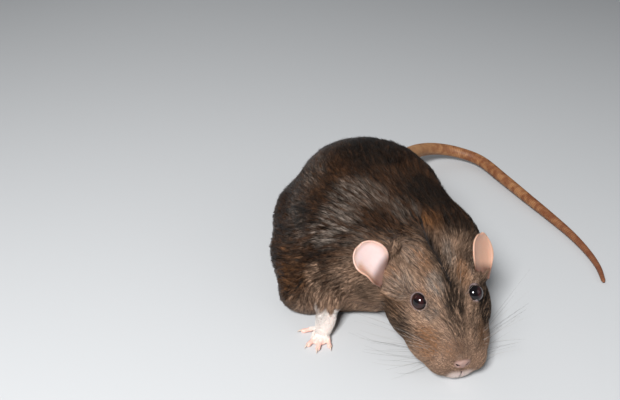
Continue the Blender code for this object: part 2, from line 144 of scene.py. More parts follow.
def limb(name, rows, sides=14, per_span=4):
    """A closed tapered limb through rows of x, y, z and radius, in millimetres."""
    line = eased_line(rows, per_span)
    shape = bmesh.new()
    rings = []
    side = None
    for n, (x, y, z, radius) in enumerate(line):
        way = Vector(line[min(n + 1, len(line) - 1)][:3] - line[max(n - 1, 0)][:3]).normalized()
        if side is None:
            side = way.orthogonal()
        side = (side - way * side.dot(way)).normalized()
        rise = way.cross(side)
        centre = Vector((x, y, z))
        ring = []
        for k in range(sides):
            angle = 2 * math.pi * k / sides
            out = side * math.cos(angle) + rise * math.sin(angle)
            ring.append(shape.verts.new((centre + out * radius) * MM))
        rings.append(ring)
    for low, high in zip(rings, rings[1:]):
        for k in range(sides):
            shape.faces.new((low[k], low[(k + 1) % sides], high[(k + 1) % sides], high[k]))
    shape.faces.new(rings[0][::-1])
    shape.faces.new(rings[-1])
    mesh = bpy.data.meshes.new(name)
    bmesh.ops.recalc_face_normals(shape, faces=shape.faces)
    shape.to_mesh(mesh)
    shape.free()
    made = bpy.data.objects.new(name, mesh)
    bpy.context.collection.objects.link(made)
    return made


def digit(root, heading, length, radius):
    """One finger or toe: knuckle, two joints and a round tip pad, and the place of its claw."""
    way = Vector((-math.sin(heading), -math.cos(heading), 0.0))
    rows = []
    for share, height, width in DIGIT_ROWS:
        centre = root + way * length * share + Vector((0, 0, radius * height))
        rows.append((*centre, radius * width))
    tip = root + way * length * 0.93 + Vector((0, 0, radius * 0.98))
    claw_places.append((tip + way * 0.35 * radius + Vector((0, 0, radius * 0.42)), way, radius))
    finger_lines.append([np.array(root + (tip - root) * share) for share in (0.15, 0.4, 0.7, 1.0)])
    pad = ball("fingertip", tip - Vector((0, 0, radius * 0.02)), (radius * 1.02,) * 3)
    return [limb("finger", rows), pad]


def foot(name, start, heading, length, ankle, width, digits, side):
    """A whole foot in pieces, flat on the floor."""
    heading = math.radians(heading)
    way = Vector((-math.sin(heading), -math.cos(heading), 0.0))
    across = Vector((-way.y, way.x, 0.0)) * side
    start = Vector((*start, 0.0))
    sole = length - max(reach for _, reach, _ in digits) * 1.15
    turn = Matrix((across, way, across.cross(way))).transposed()
    pieces = []
    for share, half, height in PALM_ROWS:
        centre = start + way * sole * share + Vector((0, 0, ankle * height * 0.52))
        pieces.append(ball("palm", centre, (width * half, sole * 0.34, ankle * height * 0.52), turn))
    for degrees, reach, radius in digits:
        lean = math.radians(degrees)
        root = start + way * (sole * 0.94 - (1 - math.cos(lean)) * width * 2.2)
        root += across * math.sin(lean) * width * 1.15
        pieces += digit(root, heading - lean * side, reach, radius)
        pad = root - way * 0.4 + Vector((0, 0, radius * 0.75))
        pieces.append(ball("walking_pad", pad, (radius * 1.15, radius * 1.3, radius * 0.75), turn))
    return pieces


# The wrists: tapered limbs that carry the line of each foreleg down into its hand
SLEEVES = {
    "forepaw_right": ((-59.2, -63.5, 17, 3.8), (-58.8, -68.0, 12.0, 4.2), (-58.7, -71.4, 8.0, 4.6),
                      (-59.9, -75.0, 4.9, 4.0), (-61.2, -78.4, 3.7, 3.0)),
    "forepaw_left": ((0.0, -46.5, 15, 3.4), (0.2, -50.5, 10.5, 3.8), (0.6, -54.5, 6.5, 3.4),
                     (1.2, -58, 4.0, 2.8)),
}
paws = []
for name, start, heading, length, ankle, width, digits, side in FEET:
    pieces = foot(name, start, heading, length, ankle, width, digits, side)
    if name in SLEEVES:
        pieces.append(limb("wrist", SLEEVES[name]))
    paw = joined(name + "_flesh", pieces)
    fuse = paw.modifiers.new("fuse", "REMESH")
    fuse.mode = "VOXEL"
    fuse.voxel_size = FOOT_GRAIN
    settle = paw.modifiers.new("settle", "SMOOTH")
    settle.factor = 0.5
    settle.iterations = 3
    lighten = paw.modifiers.new("lighten", "DECIMATE")
    lighten.ratio = 0.5
    paws.append(finished(paw))

skin = joined("skin", casts)
fuse = skin.modifiers.new("fuse", "REMESH")
fuse.mode = "VOXEL"
fuse.voxel_size = FLESH_GRAIN
settle = skin.modifiers.new("settle", "SMOOTH")
settle.factor = 0.5
settle.iterations = 5
finished(skin)

# The lie of the coat: how long the hair is at each place, which way it lies and how it is marked.
# The same fields shape the flesh under the hair, colour the hide and lay every tuft, so that
# hide and hair agree all over. Places are in millimetres; the head has its own axes.

NOSE_TIP = np.array((-3.6, -105.0, 12.1))
HEAD_TURN, HEAD_DIP = math.radians(12.0), math.radians(23.0)
HEAD_BACK = np.array((-math.sin(HEAD_TURN) * math.cos(HEAD_DIP),
                      math.cos(HEAD_TURN) * math.cos(HEAD_DIP), math.sin(HEAD_DIP)))
HEAD_LEFT = np.array((math.cos(HEAD_TURN), math.sin(HEAD_TURN), 0.0))
HEAD_AXES = np.array((HEAD_BACK, HEAD_LEFT, np.cross(HEAD_LEFT, HEAD_BACK)))
EYE_PLACES = {RIGHT: (26.0, -12.2, 8.7), LEFT: (25.8, 11.3, 9.5)}
EYE_LOOK = (-0.32, 0.80, 0.51)
EYE_RADIUS = 3.9


def on_head(x, y, z):
    return NOSE_TIP + np.array((x, y, z)) @ HEAD_AXES


def in_head(places):
    return (places - NOSE_TIP) @ HEAD_AXES.T


SPINE = eased_line((
    on_head(0, 0, 0), on_head(18, 0, 2), on_head(36, 0, 3), (-11.1, -62, 36), (-22.1, -49.6, 36),
    (-33.1, -38.6, 34), (-37.1, -19.6, 33), (-37.1, -1.6, 32), (-36.1, 17.4, 30), (-30.1, 35.4, 27),
    (-22.1, 46.4, 24), (-15.1, 54.4, 22), (-6, 66, 20),
), 6)
SPINE_WAYS = np.gradient(SPINE, axis=0)
SPINE_WAYS /= np.linalg.norm(SPINE_WAYS, axis=1, keepdims=True)
ARMS = (
    eased_line(((-57.1, -49.6, 26), (-59.1, -57.6, 20), (-58.6, -65.6, 13.5), (-57.6, -71.1, 8),
                (-62, -82, 3)), 5),
    eased_line(((-3.1, -37.6, 24), (-0.1, -42.6, 17), (-0.1, -48.6, 12), (0.4, -55, 8), (2, -66, 3)), 5),
)
SHINS = (
    eased_line(((-58, -8, 20), (-68, 10, 12), (-66, 16, 5), (-72, -14, 3)), 5),
    eased_line(((-2, 6, 20), (-4, 24, 12), (-6, 30, 5), (7, 2, 3)), 5),
)
PARTING_X = (24.0, 28.0, 33.0, 42.0, 51.0)
PARTING_Y = (0.8, 0.5, -0.7, -2.7, -5.1)


def nearest(places, line):
    """The index of the nearest point of a line for each place, and its distance."""
    best = np.full(len(places), 1e9)
    index = np.zeros(len(places), int)
    for n, point in enumerate(line):
        far = np.linalg.norm(places - point, axis=1)
        closer = far < best
        best[closer] = far[closer]
        index[closer] = n
    return index, best


def ramp(values, low, high):
    """0 below low, 1 above high and an even ease between."""
    t = np.clip((values - low) / (high - low), 0, 1)
    return t * t * (3 - 2 * t)


def bump(places, centre, radii):
    """1 at a centre, fading to 0 past the radii."""
    far = np.linalg.norm((places - np.array(centre)) / np.array(radii), axis=1)
    return 1 - ramp(far, 0.45, 1.0)


def unit(vectors):
    return vectors / np.maximum(np.linalg.norm(vectors, axis=1, keepdims=True), 1e-9)


def coat_length(places):
    """Hair length in millimetres."""
    head = in_head(places)
    back = head[:, 0]
    length = 0.9 + 1.0 * ramp(back, 3, 12) + 1.7 * ramp(back, 12, 34) + 5.4 * ramp(back, 38, 72)
    length += 2.2 * ramp(back, 70, 130)
    for line in ARMS + SHINS:
        _, far = nearest(places, line[4:])
        limb_share = 1 - ramp(far, 6, 15)
        low = 1 - ramp(places[:, 2], 5, 20)
        length = length * (1 - limb_share) + limb_share * (3.4 - 2.2 * low)
    for side in (RIGHT, LEFT):
        eye = np.linalg.norm(head - EYE_PLACES[side], axis=1)
        length *= 0.42 + 0.58 * ramp(eye, 4.4, 8.5)
    return length


def coat_depth(places):
    """How far the hide lies under the tips of the coat, in millimetres."""
    return np.clip(coat_length(places) * 0.28 - 0.22, 0.0, 2.6) * ramp(places[:, 2], 3.0, 9.0)


def parting_side(head):
    """How far to the left of the crown's parting each place on the head lies."""
    return head[:, 1] - np.interp(head[:, 0], PARTING_X, PARTING_Y)


def lie(places, normals):
    """The way the hair lies on the surface at each place."""
    way = np.zeros_like(places)
    total = np.zeros(len(places))
    for point, along in zip(SPINE[::2], SPINE_WAYS[::2]):
        near = np.exp(-np.sum((places - point) ** 2, axis=1) / (2 * 13.0 ** 2)) + 1e-12
        way += near[:, None] * along
        total += near
    way = unit(way / total[:, None])
    head = in_head(places)
    body_share = ramp(head[:, 0], 30, 62)
    down = np.array((0.0, 0.0, -1.0))
    sideways = 1 - np.clip(normals[:, 2], 0, 1)
    way += down * (1.05 * sideways * body_share + 0.35 * (1 - body_share))[:, None]
    outward = np.sign(head[:, 1:2]) * HEAD_LEFT
    way += outward * (0.30 * (1 - body_share) * ramp(np.abs(head[:, 1]), 1.0, 8))[:, None]
    off = parting_side(head)
    by_parting = np.exp(-(off / 4.5) ** 2) * ramp(head[:, 0], 24, 32) * (1 - ramp(head[:, 0], 50, 60))
    way += np.sign(off)[:, None] * HEAD_LEFT * (0.4 * by_parting * ramp(head[:, 2], 4, 9))[:, None]
    for line in ARMS:
        index, far = nearest(places, line)
        along = unit(np.gradient(line, axis=0))[index]
        share = (1 - ramp(far, 7, 15)) * (1 - ramp(places[:, 2], 16, 28)) * 1.9
        way += along * share[:, None]
    way -= normals * np.sum(way * normals, axis=1, keepdims=True)
    return unit(way)


# Patches of the coat as centre, reach and strength: on the body in the model's frame, on the
# head along its own axes, x back from the nose, y to the left and z up
# Grey patches on the body: partly grizzled hair, partly a painted sheen where the fur faces the light
SHEEN_AND_GRIZZLE_BODY = (
    ((-47.5, -50, 62), (14, 12, 11), 0.55), ((-37.5, -53, 62), (10, 9, 9), 0.4),
    ((-54.7, -59, 54.6), (13, 11, 11), 0.75), ((-60.8, -61.3, 47.2), (12, 9, 9), 0.75),
    ((-49.2, -72.3, 23.7), (12, 10, 13), 0.5), ((-65.6, -21, 58.6), (12, 22, 12), 0.4),
    ((-25, -60.5, 59), (9, 9, 9), 0.3), ((-44, -66, 42), (12, 10, 14), 0.4),
    ((-74, 8, 34), (10, 20, 14), 0.4), ((-72, -40, 40), (10, 26, 22), 0.3),
)
# Tan patches on the chest and forearm: partly tan hair, partly a painted sheen where the fur faces the light
TAN_AND_SHEEN_BODY = (
    ((-64, -64, 26), (7, 8, 9), 0.8), ((-61.5, -68.5, 18), (6, 6.5, 7), 0.9),
    ((-40, -78, 38), (12, 9, 13), 0.4), ((-49, -72, 24), (11, 9, 13), 0.35),
    ((-41, -68, 12), (10, 10, 10), 0.2),
)
# Dark patches on the body: partly near-black coat, partly painted shade over the back and on the far side,
# which is turned from the light
DARK_AND_SHADED_BODY = (
    ((-37, -18, 70), (24, 32, 18), 0.8), ((-12, -45, 56), (18, 20, 22), 0.85),
    ((-3.4, -64, 50), (12, 12, 14), 0.85), ((-70, -44, 46), (8, 10, 8), 0.6),
    ((-32, -62, 50), (7, 7, 7), 0.6), ((6, -40, 24), (20, 70, 36), 0.9), ((-20, 10, 60), (26, 40, 24), 0.75),
)
RUDDY_BODY = (
    ((-75.4, -57.3, 22.5), (13, 20, 18), 0.32), ((-12.8, -64.3, 55), (7, 7, 7), 0.5),
    ((-54.5, -70.5, 14.5), (6.5, 7, 7), 1.0), ((-60, -20, 60), (20, 30, 16), 0.15),
)
GREY_HEAD = (
    ((29.5, -6, 14.5), (8, 5, 6), 0.9), ((41.6, 3.2, 18.4), (9, 4, 6), 0.8),
    ((21.3, -10.4, 8.9), (7, 6, 6), 0.65), ((33, -20, 12), (11, 9, 9), 0.6), ((46, -12, 18), (10, 8, 8), 0.6),
    ((38, 14, 14), (8, 6, 6), 0.4),
)
RUDDY_HEAD = (
    ((10.5, -12, 1.6), (10, 7, 8), 0.8), ((10.5, 12, 1.6), (9, 6, 7), 0.6), ((41, -8.4, 17), (12, 5, 6), 0.6),
    ((32.7, 7.5, 15.6), (9, 4.5, 6), 0.65), ((30, -23, 2), (9, 7, 7), 0.5), ((38, -22, 13), (5, 5, 6), 0.6),
    ((5, -4, 4), (5, 6, 5), 0.6), ((27, -13, 12), (4, 4, 5), 0.5),
)
# Dark patches on the head: partly dark hair on the forehead and bridge, partly painted shade on the far side
# of the face, low on the cheeks and behind the ears
DARK_AND_SHADED_HEAD = (
    ((22, 1.0, 12.6), (13, 7, 9), 0.92), ((14, 0, 9), (11, 6.5, 7), 0.66), ((15, 9, 6), (9, 6, 7), 0.6),
    ((5, 0, 5), (6, 5, 5), 0.3), ((25, -22, -3), (17, 10, 12), 0.85), ((22, 18, 4), (18, 9, 12), 1.0),
    ((9, 9, 3), (9, 6, 7), 0.45), ((44, 14, 16), (10, 9, 9), 0.6), ((40, -30, -2), (12, 9, 9), 0.6),
    ((52, 2, 20), (7, 10, 8), 0.6),
)


def patches(places, rows):
    """The strongest of several patches at each place."""
    strength = np.zeros(len(places))
    for centre, reach, most in rows:
        strength = np.maximum(strength, most * bump(places, centre, reach))
    return strength


def markings(places):
    """How far the coat is tan, grey, white, dark or ruddy, and the hide bare, each from 0 to 1. On the body
    the grey and part of the tan are painted sheen as well as hair colour, and the dark is partly painted
    shade, as is the dark of the crown's parting.
    """
    head = in_head(places)
    x, y, z = head.T
    on_face = 1 - ramp(x, 42, 57)
    tan = np.maximum(on_face * 0.92, patches(places, TAN_AND_SHEEN_BODY))
    grey = np.maximum(patches(places, SHEEN_AND_GRIZZLE_BODY) * (1 - on_face), patches(head, GREY_HEAD) * on_face)
    ruddy = np.maximum(patches(places, RUDDY_BODY) * (1 - on_face), patches(head, RUDDY_HEAD) * on_face)
    # The crown's parting is painted dark: partly dark underfur, partly painted shade in its groove
    broad = 1.7 + 1.9 * ramp(x, 23, 32) * (1 - ramp(x, 40, 54))
    parting = np.exp(-(parting_side(head) / broad) ** 2)
    parting = parting * ramp(x, 22, 28) * (1 - ramp(x, 49, 56)) * ramp(z, 4, 9)
    dark = np.maximum(patches(places, DARK_AND_SHADED_BODY) * (1 - on_face), patches(head, DARK_AND_SHADED_HEAD) * on_face)
    dark = np.maximum(dark, parting)
    white = np.zeros(len(places))
    for line in ARMS:
        index, far = nearest(places, line)
        uneven = 0.9 * np.sin(places[:, 0] * 1.3) + 0.25 * (places[:, 0] - line[12][0])
        sock = (1 - ramp(far, 4.9, 6.4)) * (1 - ramp(places[:, 2] + uneven, 11.5, 13.0))
        sock *= ramp(index / len(line), 0.3, 0.45)
        white = np.maximum(white, sock)
    for name, start, heading, *_ in FEET:
        turned = math.radians(heading)
        middle_of_foot = np.array((*start, 2.0)) + np.array((-math.sin(turned), -math.cos(turned), 0)) * 5
        reach = (8, 9.5, 8.0) if name.startswith("fore") else (8, 16, 4.0)
        far = np.linalg.norm((places - middle_of_foot) / reach, axis=1)
        white = np.maximum(white, 1 - ramp(far, 0.85, 1.15))
    lip = (1 - ramp(x, 3, 8)) * (1 - ramp(z, -6.5, -3.4)) * (1 - ramp(np.abs(y), 2.5, 7.5))
    white = np.maximum(white, 0.6 * lip)
    under = 1 - ramp(places[:, 2], 3, 12)
    grey = np.clip(grey + 0.3 * under, 0, 1)
    fingers = np.full(len(places), 9.0)
    for line in finger_lines:
        _, far = nearest(places, line)
        fingers = np.minimum(fingers, far)
    bare = 1 - ramp(fingers, 1.9, 2.6)
    lid = np.zeros(len(places))
    for side in (RIGHT, LEFT):
        eye = np.linalg.norm(head - EYE_PLACES[side], axis=1)
        lid = np.maximum(lid, 1 - ramp(eye, EYE_RADIUS + 0.25, EYE_RADIUS + 0.5))
    nose = 1 - ramp(np.linalg.norm((head - (0.3, 0, -0.2)) / (2.7, 3.6, 2.7), axis=1), 0.84, 1.1)
    return {"tan": tan, "grey": grey, "white": white, "dark": np.clip(dark, 0, 1), "ruddy": ruddy,
            "bare": np.clip(bare, 0, 1), "lid": lid, "nose": nose, "lip": lip}


def points_of(mesh):
    """The vertices in millimetres and their normals."""
    flat = np.empty(len(mesh.vertices) * 3, np.float32)
    mesh.vertices.foreach_get("co", flat)
    ways = np.empty(len(mesh.vertices) * 3, np.float32)
    mesh.vertex_normals.foreach_get("vector", ways)
    return flat.reshape(-1, 3).astype(float) / MM, ways.reshape(-1, 3).astype(float)


EAR_HOLLOW = ((36.5, 19, 12), (7, 6, 6))


def sink_hide(thing):
    """Moves the hide in by the coat's depth, along normals evened over the neighbourhood, and a
    little further in front of the left ear."""
    places, ways = points_of(thing.data)
    ends = np.empty(len(thing.data.edges) * 2, int)
    thing.data.edges.foreach_get("vertices", ends)
    ends = ends.reshape(-1, 2)
    for _ in range(12):
        gathered = ways.copy()
        np.add.at(gathered, ends[:, 0], ways[ends[:, 1]])
        np.add.at(gathered, ends[:, 1], ways[ends[:, 0]])
        ways = unit(gathered)
    hollow = 2.4 * bump(in_head(places), EAR_HOLLOW[0], EAR_HOLLOW[1])
    sunk = places - ways * (coat_depth(places) + hollow)[:, None]
    sunk[:, 2] = np.maximum(sunk[:, 2], 0.0)
    thing.data.vertices.foreach_set("co", (sunk * MM).astype(np.float32).ravel())
    thing.data.update()


sink_hide(skin)
slim = skin.vertex_groups.new(name="slim")
places, _ = points_of(skin.data)
plain_share = ramp(in_head(places)[:, 0], 44, 66) * ramp(places[:, 2], 4, 10)
for step in range(11):
    level = np.flatnonzero(np.round(plain_share * 10) == step)
    slim.add(level.tolist(), 0.12 + 0.88 * step / 10, "REPLACE")
lighten = skin.modifiers.new("lighten", "DECIMATE")
lighten.ratio = 0.32
lighten.vertex_group = "slim"
lighten.vertex_group_factor = 1.0
finished(skin)
skin.vertex_groups.clear()

# Ears: thin bare leaves of skin, hollow towards the front, with a turned rim and a front edge
# that curls in over the opening. Each is a sheet given its thickness, then joined to the head.
# The right one is pale pink inside and peach at the rim, with painted shade beside its front fold,
# and the left one is tan all over, partly as painted shade. Both are painted darker at the base as shade.

EAR_HEIGHT, EAR_WIDTH, EAR_WALL = 18.4, 15.4, 0.8
EAR_BROADEST = 0.55
EARS = {
    "right": {"root": (39.7, -26.5, 12.7), "tall": (0.48, -0.59, 0.65), "face": (-0.735, 0.13, 0.66),
              "cup": 0.9, "foot": 0.58, "clear": (-1.6, 4.0)},
    "left": {"root": (35.9, 19.7, 9.3), "tall": (0.75, -0.06, 0.66), "face": (-0.49, 0.58, 0.65),
             "cup": 0.25, "foot": 0.3, "clear": (-1.6, 2.5)},
}


def new_material(name):
    made = bpy.data.materials.new(name)
    made.use_nodes = True
    return made, made.node_tree.nodes, made.node_tree.links, made.node_tree.nodes["Principled BSDF"]


def ear_frame(name):
    """The root of an ear and the ways it stands, spreads and faces."""
    held = EARS[name]
    tall = unit(np.array([held["tall"]]) @ HEAD_AXES)[0]
    face = unit(np.array([held["face"]]) @ HEAD_AXES)[0]
    face = unit([face - tall * (face @ tall)])[0]
    return on_head(*held["root"]), tall, np.cross(tall, face) * SIDES[name], face


def ear_half(h, foot_share):
    """Half the ear's width at a share of its height."""
    opening = math.sin(min(h / EAR_BROADEST, 1) * math.pi / 2)
    if h > EAR_BROADEST:
        opening = math.sqrt(max(1 - ((h - EAR_BROADEST) / 0.457) ** 2, 0.0))
        return EAR_WIDTH / 2 * opening
    return EAR_WIDTH / 2 * (foot_share + (1 - foot_share) * opening)


def ear_leaf(name):
    root, tall, wide, face = ear_frame(name)
    cup = EARS[name]["cup"]
    rows, columns = 44, 38
    shape = bmesh.new()
    grid = []
    for i in range(rows):
        h = i / (rows - 1)
        half = ear_half(h, EARS[name]["foot"])
        row = []
        for k in range(columns):
            v = 2 * k / (columns - 1) - 1
            hollow = cup * (0.12 + 0.33 * math.sin(h * math.pi)) * half * v * v
            tuck = max(0.0, -v) * (1 - h) ** 3
            belly = 0.6 * math.sin(h * math.pi) * (1 - v * v)
            curl = cup * max(0.0, (v - 0.66) / 0.34) * math.exp(-((h - 0.42) / 0.24) ** 2)
            ripple = 0.22 * math.sin(5.0 * h + 1.5) * v * v
            rim = 0.45 * max(0.0, (v * v - 0.8) / 0.2) + 0.45 * max(0.0, (h - 0.88) / 0.12)
            low = EAR_HEIGHT * (h - 0.1) - (1 - h) ** 3 * 2.6 + 4.0 * tuck
            point = root + tall * low + wide * (half * v - 1.9 * curl * curl)
            point = point + face * (hollow - belly + rim + ripple + 2.0 * curl - 3.0 * tuck)
            row.append(shape.verts.new(point * MM))
        grid.append(row)
    for low, high in zip(grid, grid[1:]):
        for k in range(columns - 1):
            shape.faces.new((low[k], low[k + 1], high[k + 1], high[k]))
    bmesh.ops.remove_doubles(shape, verts=shape.verts, dist=0.00001)
    mesh = bpy.data.meshes.new("ear_" + name)
    shape.to_mesh(mesh)
    shape.free()
    made = bpy.data.objects.new("ear_" + name, mesh)
    bpy.context.collection.objects.link(made)
    wall = made.modifiers.new("wall", "SOLIDIFY")
    wall.thickness = EAR_WALL * MM
    wall.offset = 0.0
    soften = made.modifiers.new("soften", "SMOOTH")
    soften.factor = 0.5
    soften.iterations = 3
    return finished(made)


def ear_marks(places, normals):
    """How near the rim, how far down and how much on the back of an ear each place is. The rim mark also
    carries painted shade beside the front fold and over the far ear, and the low mark is painted shade at the
    ear's base.
    """
    rim, base_shade, behind = (np.zeros(len(places)) for _ in range(3))
    for name in SIDES:
        root, tall, wide, face = ear_frame(name)
        near = np.linalg.norm(places - root - tall * 9, axis=1) < 15
        h = (places - root) @ tall / EAR_HEIGHT + 0.1
        v = (places - root) @ wide / (EAR_WIDTH / 2)
        edge = np.sqrt(((h - 0.52) / 0.5) ** 2 + v ** 2)
        # Painted shade beside the front fold, in the rim's colour
        shade_side = ramp(v, 0.3, 0.7) * (1 - ramp(h, 0.6, 0.8))
        # The far ear takes the rim's colour all over: partly its duskier skin, partly painted shade
        dusky = 1.0 if name == "left" else 0.0
        rim = np.where(near, np.maximum(np.maximum(0.7 * ramp(edge, 0.66, 1.0), shade_side), dusky), rim)
        # Painted shade at the base of the ear, where it goes down into the head
        base_shade = np.where(near, 0.8 * (1 - ramp(h + 0.12 * v, 0.12, 0.36)), base_shade)
        behind = np.where(near, 1 - ramp(normals @ face, -0.25, 0.15), behind)
    return {"ear_rim_and_shade": rim, "ear_base_shade": base_shade, "ear_back": behind}


def marking(nodes, name):
    read = nodes.new("ShaderNodeAttribute")
    read.attribute_name = name
    return read.outputs["Fac"]


def colour_mix(nodes, links, share, low, high):
    """Mixes two colours, or a node's colour and a colour, by a share."""
    mix = nodes.new("ShaderNodeMixRGB")
    links.new(share, mix.inputs["Fac"])
    for socket, colour in (("Color1", low), ("Color2", high)):
        if isinstance(colour, tuple):
            mix.inputs[socket].default_value = (*colour, 1)
        else:
            links.new(colour, mix.inputs[socket])
    return mix.outputs["Color"]


def grain(nodes, scale, detail=3.0):
    """A fine noise fixed in the model, with scale in features per metre."""
    place = nodes.new("ShaderNodeTexCoord")
    noise = nodes.new("ShaderNodeTexNoise")
    noise.inputs["Scale"].default_value = scale
    noise.inputs["Detail"].default_value = detail
    nodes.id_data.links.new(place.outputs["Object"], noise.inputs["Vector"])
    return noise.outputs["Fac"]


def relief(nodes, links, shader, height, strength, distance):
    bumped = nodes.new("ShaderNodeBump")
    bumped.inputs["Strength"].default_value = strength
    bumped.inputs["Distance"].default_value = distance
    links.new(height, bumped.inputs["Height"])
    links.new(bumped.outputs["Normal"], shader.inputs["Normal"])


def skin_shader(shader, roughness, depth):
    """Lets a little light into a skin, red the deepest."""
    shader.inputs["Roughness"].default_value = roughness
    shader.inputs["Subsurface Weight"].default_value = depth
    shader.inputs["Subsurface Radius"].default_value = (1.0, 0.35, 0.22)
    shader.inputs["Subsurface Scale"].default_value = 0.0014


ear_skin, nodes, links, shader = new_material("ear_skin")
skin_shader(shader, 0.48, 0.3)
inside = colour_mix(nodes, links, grain(nodes, 150.0), (0.66, 0.47, 0.44), (0.76, 0.62, 0.60))
# Peach at the rim, and the same colour as painted shade beside the fold and over the far ear
shown = colour_mix(nodes, links, marking(nodes, "ear_rim_and_shade"), inside, (0.57, 0.33, 0.235))
tan_back = colour_mix(nodes, links, grain(nodes, 420.0), (0.36, 0.20, 0.13), (0.60, 0.40, 0.29))
shown = colour_mix(nodes, links, marking(nodes, "ear_back"), shown, tan_back)
# Painted shade at the base of each ear
shown = colour_mix(nodes, links, marking(nodes, "ear_base_shade"), shown, (0.11, 0.045, 0.03))
links.new(shown, shader.inputs["Base Color"])
relief(nodes, links, shader, grain(nodes, 2200.0), 0.22, 0.0002)

# Tail: a long tapering lash, bare and ringed with small overlapping scales.
# It leaves the rump, swings round to the animal's left and lies along the floor. One ring of
# scales is a short step in the sweep, and the sweep is fused with the rump.

TAIL_ROUTE = (
    (-15.1, 50.4, 22), (-9.1, 61.4, 21), (-3.6, 75.4, 18), (6.9, 91.4, 14), (19.9, 100.9, 10.5),
    (34.9, 101.9, 7.5), (48.9, 92.4, 5.6), (58.9, 67.4, 4.6), (67.4, 43.4, 4.0), (74.4, 24.4, 3.4),
    (80.4, 6.4, 2.8),
    (83.9, -9.6, 2.2), (84.9, -23.6, 1.7), (83.4, -35.6, 1.1),
)
TAIL_SCALE_RINGS = 170
TAIL_SIDES = 26


def tail_thickness(share):
    return 1.0 + 4.8 * (1 - share) ** 0.85 - 0.7 * math.exp(-((share - 0.3) / 0.22) ** 2)


def even_line(points, count):
    """The same line with its points evenly spaced."""
    line = eased_line(points, 12)
    run = np.concatenate([[0], np.cumsum(np.linalg.norm(np.diff(line, axis=0), axis=1))])
    at = np.linspace(0, run[-1], count)
    return np.column_stack([np.interp(at, run, line[:, axis]) for axis in range(3)])


TAIL_LINE = even_line(TAIL_ROUTE, TAIL_SCALE_RINGS * 3 + 1)


def tail_lash():
    shape = bmesh.new()
    rings = []
    side = Vector((0, 0, 1))
    for n, centre in enumerate(TAIL_LINE):
        share = n / (len(TAIL_LINE) - 1)
        way = Vector(TAIL_LINE[min(n + 1, len(TAIL_LINE) - 1)] - TAIL_LINE[max(n - 1, 0)]).normalized()
        side = (side - way * side.dot(way)).normalized()
        rise = way.cross(side)
        radius = tail_thickness(share) * (1.015, 1.004, 0.975)[n % 3]
        if share > 0.995:
            radius *= 0.7
        ring = []
        for k in range(TAIL_SIDES):
            angle = 2 * math.pi * k / TAIL_SIDES
            out = side * math.cos(angle) + rise * math.sin(angle)
            point = Vector(centre) + out * radius
            point.z = max(point.z, 0.05)
            ring.append(shape.verts.new(point * MM))
        rings.append(ring)
    for low, high in zip(rings, rings[1:]):
        for k in range(TAIL_SIDES):
            shape.faces.new((low[k], low[(k + 1) % TAIL_SIDES], high[(k + 1) % TAIL_SIDES], high[k]))
    shape.faces.new(rings[0][::-1])
    shape.faces.new(rings[-1])
    bmesh.ops.recalc_face_normals(shape, faces=shape.faces)
    mesh = bpy.data.meshes.new("tail")
    shape.to_mesh(mesh)
    shape.free()
    made = bpy.data.objects.new("tail", mesh)
    bpy.context.collection.objects.link(made)
    return made


tail_skin, nodes, links, shader = new_material("tail_skin")
skin_shader(shader, 0.58, 0.06)
tint = nodes.new("ShaderNodeValToRGB")
tint.color_ramp.elements[0].position = 0.40
tint.color_ramp.elements[0].color = (0.21, 0.070, 0.016, 1)
tint.color_ramp.elements[1].position = 0.60
tint.color_ramp.elements[1].color = (0.50, 0.245, 0.095, 1)
links.new(grain(nodes, 235.0, 4.0), tint.inputs["Fac"])
worn = colour_mix(nodes, links, marking(nodes, "tail_pale"), tint.outputs["Color"], (0.50, 0.27, 0.125))
worn = colour_mix(nodes, links, marking(nodes, "tail_ruddy"), worn, (0.17, 0.048, 0.018))
worn = colour_mix(nodes, links, marking(nodes, "tail_gap"), worn, (0.09, 0.036, 0.016))
links.new(worn, shader.inputs["Base Color"])
relief(nodes, links, shader, grain(nodes, 2600.0), 0.35, 0.0002)

# The hide's finish: dark grey-brown skin and underfur where the coat covers it, pink and softly
# lined on fingers, nose and lids. It reads the same markings as the hair, with their painted sheen and
# painted shade.

hide, nodes, links, shader = new_material("hide")
skin_shader(shader, 0.6, 0.15)
shader.inputs["Specular IOR Level"].default_value = 0.25
pink = colour_mix(nodes, links, grain(nodes, 420.0), (0.80, 0.42, 0.34), (0.92, 0.66, 0.58))
under = colour_mix(nodes, links, marking(nodes, "tan"), (0.009, 0.006, 0.005), (0.13, 0.075, 0.05))
# Grey under the coat: partly a painted sheen on the body
under = colour_mix(nodes, links, marking(nodes, "grey"), under, (0.050, 0.040, 0.035))
# Dark under the coat: partly painted shade
under = colour_mix(nodes, links, marking(nodes, "dark"), under, (0.007, 0.004, 0.003))
under = colour_mix(nodes, links, marking(nodes, "white"), under, (0.88, 0.72, 0.66))
shown = colour_mix(nodes, links, marking(nodes, "bare"), under, pink)
shown = colour_mix(nodes, links, marking(nodes, "lip"), shown, (0.52, 0.40, 0.38))
nose_pink = colour_mix(nodes, links, grain(nodes, 700.0), (0.27, 0.155, 0.125), (0.48, 0.32, 0.28))
shown = colour_mix(nodes, links, marking(nodes, "nose"), shown, nose_pink)
shown = colour_mix(nodes, links, marking(nodes, "lid"), shown, (0.20, 0.15, 0.15))
links.new(shown, shader.inputs["Base Color"])
relief(nodes, links, shader, grain(nodes, 1500.0), 0.4, 0.00025)
opening, nodes, links, shader = new_material("nostril_and_mouth")
shader.inputs["Base Color"].default_value = (0.035, 0.012, 0.010, 1)
shader.inputs["Roughness"].default_value = 0.4


def fused_on(thing, part, operation="UNION"):
    """Joins a closed part to the hide, or carves it out, and keeps the part's own finish."""
    union = thing.modifiers.new("union", "BOOLEAN")
    union.operation = operation
    union.solver = "MANIFOLD"
    union.material_mode = "TRANSFER"
    union.object = part
    finished(thing)
    bpy.data.objects.remove(part)


